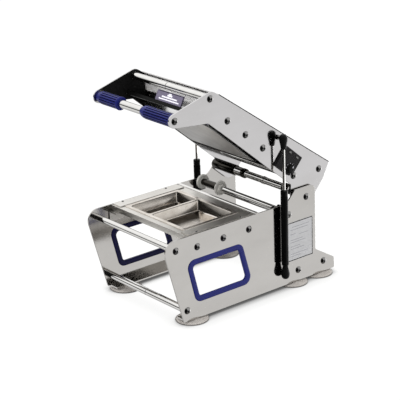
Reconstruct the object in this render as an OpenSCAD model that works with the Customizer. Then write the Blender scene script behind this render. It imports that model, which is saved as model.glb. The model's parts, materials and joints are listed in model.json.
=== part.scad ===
// Manual tray sealing machine: a steel base with a hinged sealing head, two gas springs,
// a two-well tray mould and a film shaft. Millimetres, +Z up, operator on the -Y side.
// Origin: on the surface under the middle of the machine. The head stands open.

/* [Base] */
// Width over the two side plates
body_w = 275; // [265:1:290]
// Thickness of the side plates and the arm plates
sheet = 3; // [2:0.5:3]
// Height of the side plates' lower edge above the surface
skirt_z = 8; // [7:1:9]
// Height of the side plates' top edge
deck_z = 199; // [199:0.5:200]
// Height of the rear towers that carry the head
tower_z = 225; // [223:1:229]
// Diameter of a suction foot
foot_d = 73; // [60:1:80]

/* [Head] */
// Angle that the head stands open at rest
open_angle = 40.5; // [38:0.5:42]
// Distance of the hinge from the middle of the machine
hinge_y = 157.5; // [155:0.5:160]
// Height of the hinge
hinge_z = 201.5; // [201.5:0.5:203]
// Depth of the heater plate from front to rear
heater_depth = 166; // [150:1:170]
// Width of the heater plate
heater_w = 214; // [200:1:216]
// Travel of the sprung heater plate
heater_travel = 6; // [4:1:6]

/* [Handle] */
// Diameter of the handle tube
handle_d = 18; // [16:1:20]
// Diameter of the ribbed grips
grip_d = 28; // [26:1:30]
// Number of ribs round a grip
grip_ribs = 16; // [12:2:20]

/* [Gas springs] */
// Diameter of the pressure tube
tube_d = 16.5; // [14:0.5:17]
// Diameter of the piston rod
piston_d = 6; // [5:0.5:8]
// Length of rod that shows with the head open
rod_shows = 94; // [85:1:100]

/* [Tray mould] */
// Opening of the mould frame across the machine
mould_w = 193; // [185:1:194]
// Opening of the mould frame from front to rear
mould_l = 137; // [130:1:140]
// Depth of the two wells
well_depth = 25; // [20:1:25]

/* [Film shaft] */
// Diameter of the film shaft
shaft_d = 12; // [10:1:12]
// Diameter of the film core discs
core_d = 34; // [30:1:40]

/* [Hidden] */

$fn = 48;
gap = 0.3;
cut = 1;

// Stations across the machine, measured from its middle
plate_out = body_w / 2;
plate_in = plate_out - sheet;
arm_out = plate_in - 3.5;
arm_in = arm_out - sheet;

// Side plate: [y, z, corner radius]
base_outline = [
    [-199, skirt_z, 3], [-250, deck_z, 26], [99, deck_z, 30], [124, tower_z, 3],
    [184, tower_z, 14], [184, 69, 8], [241.5, 34, 5], [242.5, skirt_z, 3]];
window_outline = [[-164, 44, 18], [-5.5, 44, 18], [-33, 144, 18], [-188, 144, 18]];
window_hole = [[-159.5, 51, 13], [-14, 51, 13], [-38, 137.5, 13], [-180, 137.5, 13]];
window_inner = [[-154, 56.5, 9], [-22, 56.5, 9], [-42.5, 131.5, 9], [-172, 131.5, 9]];
flange_w = 27;

// Screws and rods of the base: [y, z]
front_top = [-213.5, 176];
front_bottom = [-189, 33];
rear_bottom = [[131, 33.5], [208.5, 33.5]];
tower_tie = [104, 172.5];
rail_screws = [[-156, 170], [-84, 170], [-12, 170]];
base_screw_places = concat([front_top, front_bottom, tower_tie], rear_bottom, rail_screws);
screw_r = 4;
screw_head_r = 8;
screw_clear = 0.2;
front_top_r = 7;
thick_rod_r = 8;
feet_y = [-162, 128, 205];
foot_x = plate_in - 16;
foot_stud_r = 4;
stud_low = 4;

// Arm plate in the closed head's own frame, from the hinge: [y, z, corner radius]
handle_at = [-433, -39.4];
handle_end_r = 15;
top_bar_at = [-379, 43];
top_bar_r = 8;
cover_front = [-364, 60.6];
cover_slope = 5.16;
arm_corners = [
    [-350, 0, 4], [-53, 2, 4], [-38, -19, 6], [24, -19, 20],
    [26, 58, 20], [18, 95.1, 3], [-385, 58.7, 20]];
head_screws = [[-307.5, 28.5], [-244, 28.5], [-181, 28.5]];
front_panel = [[-327, 34.2], [-356, 58.5]];
tie_rods_at = [[0, 69], [-60, 21.5]];
tie_rods_r = [8, 5];
hinge_side_at = [-45, -7];
arm_screw_places = concat([handle_at, top_bar_at], head_screws, tie_rods_at);
hinge_r = 6;

// Heater stack in the head's frame
heater_mid_y = -245;
carrier_depth = 134;
heater_low = -1.2;
heater_t = 10;
board_t = 6;
carrier_z = 33;
blade_gap = 0.6;
cup_top = 54;
bolt_x = 80;
bolt_y = 55;

// Mains inlet on the rear cover
gland_x = -70;
gland_z = 44;

// Gas springs
spring_x = plate_out + 12;
spring_top = [-158, 67.5];
spring_low_z = 41;
ball_r = 5;
ball_gap = 0.06;
socket_r = 9.5;

// Tray mould
frame_top = 198;
frame_front = -178.6;
frame_rear = 10;
mould_mid_y = -88.1;
rail_w = 26;
rail_low = 160;
rail_top = 186;
divider_x = [-27, -19];
strip_screw_x = 129.5;
strip_screw_y = [-150, -28];

// Film
guide_at = [15.5, 196.5];
guide_r = 4.5;
shaft_at = [73.5, 193];
shaft_end = plate_in - 2;
left_core_x = -121;
right_core_x = -58;

steel = [0.76, 0.75, 0.73];
polished = [0.85, 0.85, 0.85];
blue = [0.16, 0.17, 0.5];
black = [0.08, 0.08, 0.08];

function clamped(c) = max(-1, min(1, c));
function unit(v) = v / norm(v);
function signed_turn(a) = a > 180 ? a - 360 : a < -180 ? a + 360 : a;

// Arc that rounds corner c between neighbours a and b with radius r
function corner_arc(a, c, b, r) =
    let(u = unit(a - c), v = unit(b - c),
        half = acos(clamped(u * v)) / 2,
        middle = c + unit(u + v) * r / sin(half),
        first = c + u * r / tan(half) - middle,
        last = c + v * r / tan(half) - middle,
        start = atan2(first.y, first.x),
        turn = signed_turn(atan2(last.y, last.x) - start),
        steps = max(2, ceil(abs(turn) / 7.5)))
    [for (i = [0:steps]) middle + r * [cos(start + turn * i / steps), sin(start + turn * i / steps)]];

// Outline with rounded corners from a list of [y, z, radius]
function rounded(corners) =
    let(n = len(corners))
    [for (i = [0:n - 1])
        let(a = corners[(i + n - 1) % n], c = corners[i], b = corners[(i + 1) % n])
        each corner_arc([a.x, a.y], [c.x, c.y], [b.x, b.y], c[2])];

function arc_points(middle, r, from, to, steps) =
    [for (i = [0:steps]) middle + r * [cos(from + (to - from) * i / steps), sin(from + (to - from) * i / steps)]];

// Zigzag lower edge of a blade, from 0 to length
function teeth(length, pitch, depth) =
    let(n = round(length / pitch))
    [for (i = [0:2 * n]) [length * i / (2 * n), i % 2 == 0 ? depth : 0]];

module on_side(side) {
    if (side > 0) children();
    else mirror([1, 0, 0]) children();
}

// Sheet in the YZ plane, standing from x towards +X
module sheet_at(x, t) {
    translate([x, 0, 0]) rotate([90, 0, 90]) linear_extrude(t) children();
}

// Round bar along X from x0 to x1
module bar(x0, x1, at, r) {
    translate([x0, at.x, at.y]) rotate([0, 90, 0]) cylinder(h = x1 - x0, r = r);
}

// Places its children, drawn in the closed head's frame, on the open head
module on_head() {
    translate([0, hinge_y, hinge_z]) rotate([-open_angle, 0, 0]) children();
}

// Socket screw with a domed head, seated at x and pointing to -X
module dome_screw(x, at, reach) {
    translate([x, at.x, at.y]) rotate([0, 90, 0]) {
        difference() {
            intersection() {
                cylinder(h = 5.4, r = screw_head_r);
                translate([0, 0, -3.4]) sphere(r = 8.8);
            }
            translate([0, 0, 2.4]) cylinder(h = 4, r = 2.9, $fn = 6);
        }
        translate([0, 0, -reach]) cylinder(h = reach, r = screw_r);
    }
}

module screw_holes(places, r) {
    for (p = places) translate(p) circle(r = r);
}

// ---- Base ----

module side_plate(side) {
    color(steel) on_side(side) {
        difference() {
            union() {
                sheet_at(plate_in, sheet) difference() {
                    polygon(rounded(base_outline));
                    polygon(rounded(window_hole));
                    screw_holes(base_screw_places, screw_r + screw_clear);
                    translate([hinge_y, hinge_z]) circle(r = hinge_r + 0.1);
                    translate([spring_rest_y(), spring_low_z]) circle(r = screw_r + screw_clear);
                }
                translate([plate_in - flange_w, -194, skirt_z]) cube([flange_w + 0.5, 430, sheet]);
            }
            for (y = feet_y) translate([foot_x, y, skirt_z - cut])
                cylinder(h = sheet + 2 * cut, r = foot_stud_r + screw_clear);
        }
    }
}

module left_side_plate() { side_plate(-1); }
module right_side_plate() { side_plate(1); }

// Plastic edging pressed over the rim of the hand window
module window_trim(side) {
    lip = 2;
    color(blue) on_side(side) difference() {
        sheet_at(plate_in - lip, sheet + 2 * lip) difference() {
            polygon(rounded(window_outline));
            polygon(rounded(window_inner));
        }
        sheet_at(plate_in, sheet) difference() {
            square([600, 600], center = true);
            polygon(rounded(window_hole));
        }
    }
}

module left_window_trim() { window_trim(-1); }
module right_window_trim() { window_trim(1); }

module front_top_rod() { color(polished) bar(-plate_in, plate_in, front_top, front_top_r); }
module front_bottom_rod() { color(polished) bar(-plate_in, plate_in, front_bottom, thick_rod_r); }

module rear_tie_rods() {
    color(polished) {
        for (p = rear_bottom) bar(-plate_in, plate_in, p, thick_rod_r);
        bar(-plate_in, plate_in, tower_tie, front_top_r);
    }
}

module base_screws() {
    color("silver") for (side = [-1, 1]) on_side(side)
        for (p = base_screw_places) dome_screw(plate_out, p, sheet);
}

// Flat suction foot with a short neck, hollow under its middle
module feet() {
    r = foot_d / 2;
    profile = [
        [r - 9.8, 0], [r - 0.8, 0], [r, 0.8], [r, 1.8], [r - 6, 3.8], [18, 5.2], [14, skirt_z],
        [foot_stud_r + 0.1, skirt_z], [foot_stud_r + 0.1, stud_low], [0, stud_low], [0, 2], [r - 16, 1.6]];
    color([0.6, 0.58, 0.55, 0.8]) for (side = [-1, 1], y = feet_y) translate([side * foot_x, y, 0])
        rotate_extrude() polygon(profile);
}

module foot_studs() {
    color("silver") for (side = [-1, 1], y = feet_y) translate([side * foot_x, y, 0]) {
        translate([0, 0, stud_low]) cylinder(h = skirt_z + sheet - stud_low, r = foot_stud_r);
        translate([0, 0, skirt_z + sheet]) cylinder(h = 6.5, r = 7.5, $fn = 6);
    }
}

// Angle that carries the mould frame on its top leg
module rail(side) {
    wall = 3;
    length = 196;
    color(steel) on_side(side) {
        translate([plate_in - wall, -186, rail_low]) cube([wall, length, rail_top - rail_low]);
        translate([plate_in - rail_w, -186, rail_top - wall]) cube([rail_w, length, wall]);
    }
}

module left_rail() { rail(-1); }
module right_rail() { rail(1); }

// Pressed frame that holds the mould, with turned-down front and rear skirts
module mould_frame() {
    wall = 2;
    half = plate_in - 0.5;
    color(steel) difference() {
        union() {
            translate([-half, frame_front, frame_top - wall])
                cube([2 * half, frame_rear - frame_front, wall]);
            for (y = [frame_front, frame_rear - wall])
                translate([-half, y, rail_top]) cube([2 * half, wall, frame_top - rail_top]);
            translate([-mould_w / 2 - wall, mould_mid_y - mould_l / 2 - wall, frame_top - 8])
                cube([mould_w + 2 * wall, mould_l + 2 * wall, 8]);
        }
        translate([-mould_w / 2, mould_mid_y - mould_l / 2, frame_top - 40])
            cube([mould_w, mould_l, 50]);
    }
}

module side_strip(side) {
    color(steel) on_side(side) difference() {
        translate([106, -174, frame_top]) cube([27, 180, 2]);
        for (y = strip_screw_y) translate([strip_screw_x, y, frame_top - cut]) cylinder(h = 5, r = 1.7);
    }
}

module left_side_strip() { side_strip(-1); }
module right_side_strip() { side_strip(1); }

module strip_screws() {
    color("silver") for (side = [-1, 1], y = strip_screw_y) translate([side * strip_screw_x, y, frame_top]) {
        cylinder(h = 2, r = 1.5);
        translate([0, 0, 2]) difference() {
            cylinder(h = 1.2, r1 = 3, r2 = 2.2);
            translate([0, 0, 0.6]) cylinder(h = 2, r = 1, $fn = 6);
        }
    }
}

// Open pocket with drafted walls and round corners
module pocket(x0, x1) {
    draft = 4;
    r = 5;
    y0 = mould_mid_y - mould_l / 2 + 2.5;
    y1 = y0 + mould_l - 5;
    hull() for (x = [x0 + r, x1 - r], y = [y0 + r, y1 - r]) {
        translate([x, y, frame_top + 2]) cylinder(h = 1, r = r, $fn = 32);
        translate([x + draft * sign((x0 + x1) / 2 - x), y + draft * sign(mould_mid_y - y), frame_top - well_depth])
            cylinder(h = 1, r = r, $fn = 32);
    }
}

// Lift-out block with two wells that the tray hangs in; its flange rests on the frame
module die_insert() {
    half_x = mould_w / 2 - 0.5;
    half_y = mould_l / 2 - 0.5;
    floor_t = 2;
    low = frame_top - well_depth - floor_t;
    color([0.72, 0.7, 0.66]) difference() {
        union() {
            translate([-104, mould_mid_y - 75.5, frame_top]) cube([208, 151, 1.6]);
            translate([-half_x, mould_mid_y - half_y, low]) cube([2 * half_x, 2 * half_y, frame_top + 0.5 - low]);
        }
        pocket(-half_x + 2, divider_x[0]);
        pocket(divider_x[1], half_x - 2);
    }
}

module film_guide_rod() { color(polished) bar(-plate_in, plate_in, guide_at, guide_r); }

// Open-topped slots that the film shaft drops into
module shaft_brackets() {
    color(black) for (side = [-1, 1]) on_side(side) sheet_at(plate_in - 8, 8) difference() {
        translate([shaft_at.x - 12, 171]) square([24, deck_z - 171]);
        translate(shaft_at) circle(r = shaft_d / 2 + 0.08);
        translate([shaft_at.x - shaft_d / 2 - 0.08, shaft_at.y]) square([shaft_d + 0.16, 20]);
    }
}

module film_shaft() { color(polished) bar(-shaft_end, shaft_end, shaft_at, shaft_d / 2); }

module film_shaft_sleeve() {
    color(black) difference() {
        bar(left_core_x + 3, right_core_x - 3, shaft_at, 8);
        bar(-shaft_end, shaft_end, shaft_at, shaft_d / 2 + 0.05);
    }
}

// Disc with a stepped hub that centres the film core; the hub points to +X
module core_disc(x, reach) {
    color([0.6, 0.6, 0.58, 0.7]) difference() {
        union() {
            bar(x - 2.5, x + 2.5, shaft_at, core_d / 2);
            bar(x + 2.5, x + 2.5 + reach, shaft_at, 10);
        }
        bar(-shaft_end, shaft_end, shaft_at, shaft_d / 2 + 0.05);
    }
}

module left_core_disc() {
    color([0.6, 0.6, 0.58, 0.7]) difference() {
        bar(left_core_x - 3, left_core_x + 3, shaft_at, core_d / 2);
        bar(-shaft_end, shaft_end, shaft_at, shaft_d / 2 + 0.05);
    }
}

module right_core_disc() { core_disc(right_core_x, 6); }

// Shoulder bolts that the head turns on
module hinge_pins() {
    color("silver") for (side = [-1, 1]) on_side(side) {
        dome_screw(plate_out, [hinge_y, hinge_z], 1);
        bar(arm_in - 8, plate_out, [hinge_y, hinge_z], hinge_r);
        difference() {
            bar(arm_in - 7, arm_in - gap, [hinge_y, hinge_z], 10);
            bar(arm_in - 9, arm_out, [hinge_y, hinge_z], hinge_r);
        }
    }
}

module data_plate() {
    color([0.8, 0.8, 0.8]) sheet_at(plate_out, 0.8)
        polygon(rounded([[97, 60, 2], [175.5, 60, 2], [175.5, 152, 2], [97, 152, 2]]));
}

module ball_stud(x, length) {
    rotate([0, 90, 0]) {
        translate([0, 0, x]) cylinder(h = length, r = 3);
        translate([0, 0, x]) cylinder(h = 3, r = 6, $fn = 6);
    }
    translate([x + length, 0, 0]) sphere(r = ball_r);
}

module lower_ball_studs() {
    color("silver") for (side = [-1, 1]) on_side(side) translate([0, spring_rest_y(), spring_low_z]) {
        ball_stud(plate_out, spring_x - plate_out);
        rotate([0, 90, 0]) translate([0, 0, plate_in]) cylinder(h = sheet, r = screw_r);
    }
}

// ---- Head ----

module arm_outline() {
    front = 146;
    under = 305;
    polygon(concat(arc_points(handle_at, handle_end_r, front, under, 24), rounded_open(arm_corners)));
}

// Rounds the corners of an open run whose ends join the handle's arc
function rounded_open(corners) =
    let(ends = [handle_at + handle_end_r * [cos(305), sin(305)], handle_at + handle_end_r * [cos(146), sin(146)]],
        run = concat([[ends[0].x, ends[0].y, 0]], corners, [[ends[1].x, ends[1].y, 0]]))
    [for (i = [1:len(run) - 2])
        each corner_arc([run[i - 1].x, run[i - 1].y], [run[i].x, run[i].y], [run[i + 1].x, run[i + 1].y], run[i][2])];

module arm_plate(side) {
    color(steel) on_head() on_side(side) sheet_at(arm_in, sheet) difference() {
        arm_outline();
        screw_holes(arm_screw_places, screw_r + screw_clear);
        circle(r = 8.05);
    }
}

module left_arm_plate() { arm_plate(-1); }
module right_arm_plate() { arm_plate(1); }

// Thin black sheets on the arms' inner faces beside the handle
module arm_liners() {
    color(black) on_head() for (side = [-1, 1]) on_side(side) sheet_at(arm_in - 1, 1) difference() {
        intersection() {
            offset(delta = -0.5) arm_outline();
            polygon([[-460, -100], [-318, -100], [-318, 23], [-359, 57.5], [-380, 75], [-460, 75]]);
        }
        translate(handle_at) circle(r = grip_d / 2 + 1.5);
        translate(top_bar_at) circle(r = top_bar_r + 0.3);
        offset(delta = 0.4) crossbar_outline();
    }
}

module hinge_bushes() {
    color([0.85, 0.82, 0.7]) on_head() for (side = [-1, 1]) on_side(side) difference() {
        union() {
            bar(arm_in, arm_out, [0, 0], 8);
            bar(arm_out, plate_in - gap, [0, 0], 11);
        }
        bar(arm_in - cut, plate_in + cut, [0, 0], hinge_r + 0.05);
    }
}

module arm_screws() {
    color("silver") on_head() for (side = [-1, 1]) on_side(side)
        for (p = arm_screw_places) dome_screw(arm_out, p, sheet);
}

// Runs along the arms' sloping top edge: x across, y along the edge, z off the edge
module on_cover() {
    translate([0, cover_front.x, cover_front.y]) rotate([cover_slope, 0, 0]) children();
}

module top_cover() {
    color(steel) on_head() on_cover() difference() {
        translate([-arm_out, 0, 0]) cube([2 * arm_out, 383, 2]);
        for (x = [-118, 118], y = [28, 337]) translate([x, y, -cut]) cylinder(h = 5, r = 2.2);
    }
}

module cover_screws() {
    color("silver") on_head() on_cover() for (x = [-118, 118], y = [28, 337]) translate([x, y, 0]) {
        translate([0, 0, -6]) cylinder(h = 8, r = 2);
        translate([0, 0, 2]) cylinder(h = 1.8, r1 = 4, r2 = 2.8);
    }
}

module rear_cover() {
    back = [[16, 30], [18, 30], [20, 58], [14, 91], [12, 91], [18, 58]];
    color(steel) on_head() difference() {
        sheet_at(-arm_in, 2 * arm_in) polygon(back);
        translate([gland_x, 10, gland_z]) rotate([-90, 0, 0]) cylinder(h = 20, r = 6.2);
    }
}

// Inlet for the mains lead
module cable_gland() {
    color(black) on_head() translate([gland_x, 0, gland_z]) rotate([-90, 0, 0]) difference() {
        union() {
            translate([0, 0, 10]) cylinder(h = 11.5, r = 6);
            translate([0, 0, 20.2]) cylinder(h = 3.5, r = 10, $fn = 6);
            translate([0, 0, 23.7]) cylinder(h = 8, r1 = 8, r2 = 6);
        }
        translate([0, 0, 5]) cylinder(h = 30, r = 3.5);
    }
}

module top_bar() { color(polished) on_head() bar(-arm_in, arm_in, top_bar_at, top_bar_r); }

module crossbar_outline() {
    polygon([[-375, 0], [-372, 0], [-372, 5], [-354, 5], [-354, 8], [-375, 8]]);
}

module front_crossbar() { color(black) on_head() sheet_at(-arm_in, 2 * arm_in) crossbar_outline(); }

module badge_plate() {
    color([0.45, 0.42, 0.55]) on_head() translate([-31, -375, 8]) rotate([13, 0, 0]) cube([89, 2, 23]);
}

module handle_tube() {
    color(polished) on_head() bar(-arm_in, arm_in, handle_at, handle_d / 2);
}

// Ribbed grip from x0 to x1, with a cone at its -X end and a lip at its +X end
module grip(x0, x1) {
    r = grip_d / 2;
    taper = 18;
    lip = 3;
    color(blue) on_head() difference() {
        union() {
            translate([x0 + taper, handle_at.x, handle_at.y]) rotate([0, 90, 0])
                linear_extrude(x1 - lip - x0 - taper) difference() {
                    circle(r = r);
                    for (i = [0:grip_ribs - 1]) rotate(360 * i / grip_ribs) translate([r + 0.5, 0])
                        circle(r = 1.7, $fn = 16);
                }
            translate([x0, handle_at.x, handle_at.y]) rotate([0, 90, 0])
                cylinder(h = taper, r1 = r - taper * 0.25, r2 = r - 0.5);
            bar(x1 - lip, x1, handle_at, r + 0.8);
        }
        bar(-arm_in - cut, arm_in + cut, handle_at, handle_d / 2);
    }
}

module left_grip() { grip(-arm_in, -50); }
module right_grip() { grip(26, arm_in); }

module head_tie_rods() {
    color(polished) on_head() for (i = [0:1]) bar(-arm_in, arm_in, tie_rods_at[i], tie_rods_r[i]);
}

// Cross rod just in front of the hinge, which the film passes under
module hinge_side_rod() { color(polished) on_head() bar(-arm_in, arm_in, hinge_side_at, 8); }

module rod_sleeve() {
    color(black) on_head() difference() {
        union() {
            bar(-arm_in, -52, hinge_side_at, 12);
            bar(-30, -20, hinge_side_at, 11);
            bar(108, arm_in, hinge_side_at, 11);
        }
        bar(-arm_in - cut, arm_in + cut, hinge_side_at, 8);
    }
}

module rod_collars() {
    color("silver") on_head() difference() {
        union() {
            bar(-52, -30, hinge_side_at, 10.5);
            bar(40, 46, hinge_side_at, 9);
        }
        bar(-arm_in - cut, arm_in + cut, hinge_side_at, 8);
    }
}

// Bridge between the arms, with a closed cup over each press spring of the heater
module heater_carrier() {
    wall = 3;
    depth = carrier_depth;
    color(steel) on_head() translate([0, heater_mid_y, 0]) difference() {
        union() {
            translate([-arm_in, -depth / 2, carrier_z]) cube([2 * arm_in, depth, wall]);
            for (side = [-1, 1]) on_side(side)
                translate([arm_in - wall, -depth / 2, 18]) cube([wall, depth, carrier_z + wall - 18]);
            for (x = [-bolt_x, bolt_x], y = [-bolt_y, bolt_y]) translate([x, y, carrier_z])
                cylinder(h = cup_top - carrier_z, r = 10);
        }
        for (x = [-bolt_x, bolt_x], y = [-bolt_y, bolt_y]) translate([x, y, carrier_z - cut])
            cylinder(h = cup_top - carrier_z, r = 8.5);
    }
}

// Leaning bulkhead behind the badge and upright bulkhead behind the heater
module head_panels() {
    color(steel) on_head() {
        sheet_at(-arm_in, 2 * arm_in) polygon([front_panel[0], front_panel[1],
            front_panel[1] + [1.6, 1.3], front_panel[0] + [1.6, 1.3]]);
        translate([-arm_in, -130, 4]) cube([2 * arm_in, 2, 74]);
    }
}

// One straight serrated blade, standing in its own XZ plane
module blade(length) {
    rotate([90, 0, 0]) linear_extrude(0.8)
        polygon(concat(teeth(length, 6, 3), [[length, carrier_z + 1], [0, carrier_z + 1]]));
}

module film_knife() {
    half_w = heater_w / 2 + blade_gap;
    half_d = heater_depth / 2 + blade_gap;
    color("silver") on_head() translate([0, heater_mid_y, -1]) {
        translate([-half_w, -half_d, 0]) blade(2 * half_w);
        translate([-half_w, half_d + 0.8, 0]) blade(2 * half_w);
        for (x = [-half_w - 0.8, half_w]) translate([x, -half_d, 0]) rotate([0, 0, 90]) blade(2 * half_d);
    }
}

module heater_block(z, t, inset) {
    corners = [for (s = [[-1, -1], [1, -1], [1, 1], [-1, 1]])
        [s.x * (heater_w / 2 - inset), s.y * (heater_depth / 2 - inset), 10]];
    translate([0, heater_mid_y, z]) linear_extrude(t) polygon(rounded(corners));
}

module heater_plate() {
    color([0.5, 0.5, 0.5]) on_head() difference() {
        heater_block(heater_low, heater_t, 0);
        for (y = [-40, 40]) translate([0, heater_mid_y + y, heater_low + 6])
            rotate([0, 90, 0]) cylinder(h = 180, r = 3.2, center = true);
    }
}

module heating_element() {
    color([0.5, 0.4, 0.3]) on_head() for (y = [-40, 40])
        translate([0, heater_mid_y + y, heater_low + 6]) rotate([0, 90, 0]) cylinder(h = 178, r = 3.15, center = true);
}

module insulation_board() {
    color([0.85, 0.8, 0.65]) on_head() heater_block(heater_low + heater_t, board_t, 4);
}

module guide_bolts() {
    base = heater_low + heater_t + board_t;
    color("silver") on_head() for (x = [-bolt_x, bolt_x], y = [-bolt_y, bolt_y])
        translate([x, heater_mid_y + y, base]) cylinder(h = carrier_z - base + 9, r = 3);
}

// Points of a ring of the spring wire, turned a round the axis and z up it
function wire_ring(coil, wire, a, z, sides) =
    [for (j = [0:sides - 1])
        let(b = 360 * j / sides, out = coil + wire * cos(b))
        [out * cos(a), out * sin(a), z + wire * sin(b)]];

// Compression spring standing on z = 0
module coil_spring(coil, wire, turns, height) {
    sides = 6;
    per_turn = 14;
    rings = turns * per_turn;
    rise = (height - 2 * wire) / rings;
    points = [for (i = [0:rings]) each wire_ring(coil, wire, 360 * i / per_turn, wire + rise * i, sides)];
    skin = [for (i = [0:rings - 1], j = [0:sides - 1])
        [i * sides + j, i * sides + (j + 1) % sides, (i + 1) * sides + (j + 1) % sides, (i + 1) * sides + j]];
    first = [for (j = [sides - 1:-1:0]) j];
    last = [for (j = [0:sides - 1]) rings * sides + j];
    polyhedron(points, concat(skin, [first, last]), convexity = 8);
}

module press_springs() {
    base = heater_low + heater_t + board_t;
    color([0.4, 0.4, 0.42]) on_head() for (x = [-bolt_x, bolt_x], y = [-bolt_y, bolt_y])
        translate([x, heater_mid_y + y, base + 0.1]) coil_spring(6.2, 1, 6, cup_top - base - heater_travel - 3.5);
}

// Control box on the outside of the right arm
module control_panel() {
    corners = [[-127, 13.5, 2], [-78, 13.5, 4], [-69, 22, 6], [-68, 64, 2], [-127, 64, 2]];
    color(black) on_head() difference() {
        sheet_at(arm_out, 6) polygon(rounded(corners));
        for (y = [-108, -82]) bar(arm_out + 3, arm_out + 8, [y, 57], 3.05);
        bar(arm_out + 2, arm_out + 8, [-85, 27], 3.06);
    }
}

module panel_lamps() {
    color([0.8, 0.8, 0.8]) on_head() for (y = [-108, -82]) translate([arm_out + 3, y, 57]) rotate([0, 90, 0]) {
        cylinder(h = 3, r = 3);
        translate([0, 0, 3]) cylinder(h = 1, r = 4);
        translate([0, 0, 4]) cylinder(h = 1.6, r1 = 3, r2 = 1.8);
    }
}

module control_knob() {
    ribs = 18;
    color(black) on_head() translate([arm_out + 2.2, -85, 27]) rotate([0, 90, 0]) {
        cylinder(h = 5, r = 3);
        translate([0, 0, 4.1]) linear_extrude(5.4) difference() {
            circle(r = 10);
            for (i = [0:ribs - 1]) rotate(360 * i / ribs) translate([10.6, 0]) circle(r = 1.2, $fn = 16);
        }
        translate([0, 0, 4.1]) cylinder(h = 0.8, r = 11);
        translate([0, 0, 9.5]) difference() {
            cylinder(h = 1.2, r1 = 9, r2 = 8);
            translate([-1, 2, 0.6]) cube([2, 6, 2]);
        }
    }
}

// ---- Gas springs ----

// Place of the upper ball on the open head
function spring_rest_y() = hinge_y + spring_top.x * cos(open_angle) + spring_top.y * sin(open_angle);
function spring_rest_z() = hinge_z - spring_top.x * sin(open_angle) + spring_top.y * cos(open_angle);

// Moulded ball socket; its neck points to +Z from the ball's centre
module socket(neck) {
    difference() {
        union() {
            sphere(r = socket_r);
            cylinder(h = neck, r1 = socket_r - 0.6, r2 = 5.6);
            translate([0, 0, -10]) cylinder(h = 10, r1 = 6, r2 = socket_r - 0.6);
        }
        sphere(r = ball_r + ball_gap);
        rotate([0, -90, 0]) cylinder(h = 12, r = 4.4);
    }
}

module spring_tube(side) {
    top = spring_rest_z() - 23 - rod_shows;
    base = spring_low_z + 22;
    color(black) on_side(side) translate([spring_x, spring_rest_y(), 0]) {
        translate([0, 0, spring_low_z]) socket(22);
        difference() {
            translate([0, 0, base]) rotate_extrude() difference() {
                square([tube_d / 2, top - base]);
                translate([tube_d / 2 - 1.5, top - base - 1.5]) difference() {
                    square(4);
                    circle(r = 1.5, $fn = 24);
                }
            }
            translate([0, 0, base + 12]) cylinder(h = top, r = piston_d / 2 + 0.05);
        }
    }
}

module spring_rod(side) {
    ball_z = spring_rest_z();
    length = rod_shows + 78;
    color("silver") on_side(side) translate([spring_x, spring_rest_y(), 0]) {
        translate([0, 0, ball_z - 23 - length]) cylinder(h = length, r = piston_d / 2);
        translate([0, 0, ball_z]) mirror([0, 0, 1]) socket(23);
        translate([arm_out + 0.4 - spring_x, 0, ball_z]) ball_stud(0, spring_x - arm_out - 0.4);
    }
}

module left_spring_tube() { spring_tube(-1); }
module left_spring_rod() { spring_rod(-1); }
module right_spring_tube() { spring_tube(1); }
module right_spring_rod() { spring_rod(1); }

left_side_plate();
right_side_plate();
left_window_trim();
right_window_trim();
front_top_rod();
front_bottom_rod();
rear_tie_rods();
base_screws();
feet();
foot_studs();
left_rail();
right_rail();
mould_frame();
left_side_strip();
right_side_strip();
strip_screws();
die_insert();
film_guide_rod();
shaft_brackets();
film_shaft();
film_shaft_sleeve();
left_core_disc();
right_core_disc();
hinge_pins();
data_plate();
lower_ball_studs();
left_arm_plate();
right_arm_plate();
arm_liners();
hinge_bushes();
arm_screws();
top_cover();
cover_screws();
rear_cover();
cable_gland();
top_bar();
front_crossbar();
badge_plate();
handle_tube();
left_grip();
right_grip();
head_tie_rods();
hinge_side_rod();
rod_sleeve();
rod_collars();
heater_carrier();
head_panels();
film_knife();
heater_plate();
insulation_board();
heating_element();
guide_bolts();
press_springs();
control_panel();
panel_lamps();
control_knob();
left_spring_tube();
left_spring_rod();
right_spring_tube();
right_spring_rod();
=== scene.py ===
import json
from math import acos, atan2, cos, pi, radians, sin, tan

import bmesh
import bpy
from mathutils import Matrix, Vector


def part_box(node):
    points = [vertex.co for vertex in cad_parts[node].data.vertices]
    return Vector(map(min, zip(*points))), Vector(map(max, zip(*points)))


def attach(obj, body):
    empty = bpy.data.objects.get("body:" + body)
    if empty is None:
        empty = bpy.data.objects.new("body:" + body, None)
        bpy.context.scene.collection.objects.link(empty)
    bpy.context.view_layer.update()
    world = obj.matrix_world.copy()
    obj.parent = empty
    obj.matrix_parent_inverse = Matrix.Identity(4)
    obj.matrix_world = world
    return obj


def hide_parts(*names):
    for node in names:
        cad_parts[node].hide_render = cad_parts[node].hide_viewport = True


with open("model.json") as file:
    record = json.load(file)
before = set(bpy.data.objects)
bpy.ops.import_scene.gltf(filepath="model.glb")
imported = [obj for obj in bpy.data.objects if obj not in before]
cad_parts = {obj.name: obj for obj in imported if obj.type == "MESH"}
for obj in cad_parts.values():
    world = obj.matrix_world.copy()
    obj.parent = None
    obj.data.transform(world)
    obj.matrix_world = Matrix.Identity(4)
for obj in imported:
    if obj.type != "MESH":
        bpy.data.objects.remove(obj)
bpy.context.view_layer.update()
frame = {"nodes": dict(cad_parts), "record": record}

MM = 0.001
RECORD = frame["record"]

# Camera: place in metres, angles in degrees, lens in millimetres
CAMERA_PLACE = Vector((2.4548, -2.0046, 1.3619))
CAMERA_AZIMUTH = 51.24
CAMERA_ELEVATION = 20.15
CAMERA_ROLL = -2.08
CAMERA_LENS = 136.9

# Brightness of the even white light, as diffuse surfaces see it
WORLD_LIGHT = 2.0

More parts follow.
